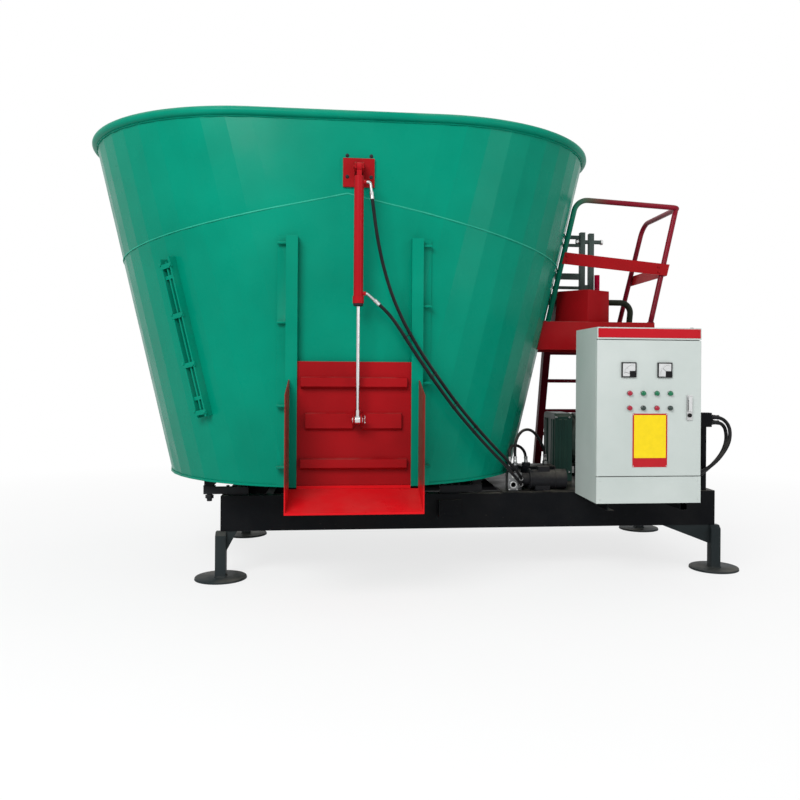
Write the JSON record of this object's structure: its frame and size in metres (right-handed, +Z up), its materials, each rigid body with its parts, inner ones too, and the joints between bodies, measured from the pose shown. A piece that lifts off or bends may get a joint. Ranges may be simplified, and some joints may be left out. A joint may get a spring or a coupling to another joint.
{
  "type": "stationary vertical feed mixer",
  "caption": "Stationary vertical feed mixer: oval steel tub with an upright auger, sliding discharge door and chute, service platform, ladder and switch cabinet on a legged frame.",
  "frame": {"origin": "bottom centre of the machine's bounding box, on the ground that its four foot plates stand on", "axes": "+X along the frame from the tub end to the platform end, -Y the discharge side with the door and chute, +Z up"},
  "size_m": [4.004, 2.454, 2.6],
  "materials": {
    "tub_green": "gloss",
    "door_red": "satin",
    "frame_black": "satin",
    "drive_green": "satin",
    "rail_red": "satin",
    "mast_grey": "satin",
    "cabinet_grey": "matte",
    "instrument": "matte",
    "steel": "worn",
    "chromed_rod": "polished",
    "hose_rubber": "matte",
    "post_crimson": "satin",
    "galvanised": "dull"
  },
  "bodies": {
    "machine": {"belt_guard": "drive_green", "bent_pipe": "mast_grey", "cabinet_arms": "frame_black", "cabinet_body": "cabinet_grey", "cabinet_switchgear": "instrument", "cable_motor": "hose_rubber", "cable_post": "frame_black", "cable_supply": "hose_rubber", "chute": "door_red", "cylinder_barrel": "door_red", "cylinder_bracket": "door_red", "deck_plate": "frame_black", "door_rail_left": "tub_green", "door_rail_right": "tub_green", "door_sill": "door_red", "frame_beam_front": "frame_black", "frame_beam_rear": "frame_black", "frame_cross_members": "frame_black", "hose_fittings": "steel", "hose_lift": "hose_rubber", "hose_return": "hose_rubber", "hose_tank_high": "hose_rubber", "hose_tank_low": "hose_rubber", "kick_plate": "door_red", "knife_slot_front": "tub_green", "knife_slot_rear": "tub_green", "ladder": "rail_red", "leg_front_left": "frame_black", "leg_front_right": "frame_black", "leg_rear_left": "frame_black", "leg_rear_right": "frame_black", "load_cells": "galvanised", "main_motor": "drive_green", "mast": "mast_grey", "mast_post": "post_crimson", "oil_tank": "frame_black", "planetary_gearbox": "drive_green", "platform_box": "door_red", "platform_deck": "door_red", "platform_rail": "rail_red", "pump_motor": "drive_green", "rim_tube": "tub_green", "shaft_guard": "frame_black", "tub_floor": "tub_green", "tub_subframe": "frame_black", "valve_block": "steel", "wall_end_left_front": "tub_green", "wall_end_left_rear": "tub_green", "wall_end_right_front": "tub_green", "wall_end_right_rear": "tub_green", "wall_front": "tub_green", "wall_rear": "tub_green"},
    "auger": {"auger_screw": "steel", "auger_knives": "steel"},
    "door": {"door_panel": "door_red", "door_stiffeners": "door_red", "door_clevis": "door_red"},
    "cylinder_rod": {"cylinder_rod": "chromed_rod"},
    "cabinet_door": {"cabinet_door": "cabinet_grey", "cabinet_instruments": "instrument"}
  },
  "joints": [
    {"name": "auger_spin", "type": "hinge", "parent": "machine", "child": "auger", "pos_m": [-0.415, 0.157, 0.6], "axis": [0, 0, 1], "continuous": true},
    {"name": "door_slide", "type": "slide", "parent": "machine", "child": "door", "axis": [0, 0, 1], "range_m": [0, 0.5]},
    {"name": "rod_slide", "type": "slide", "parent": "machine", "child": "cylinder_rod", "axis": [0, 0, 1], "range_m": [0, 0.5]},
    {"name": "cabinet_door_hinge", "type": "hinge", "parent": "machine", "child": "cabinet_door", "pos_m": [0.972, -0.892, 0.9], "axis": [0, 0, -1], "range_deg": [0, 110]}
  ],
  "couplings": [
    {"joint": "rod_slide", "follows": "door_slide", "ratio": 1}
  ]
}
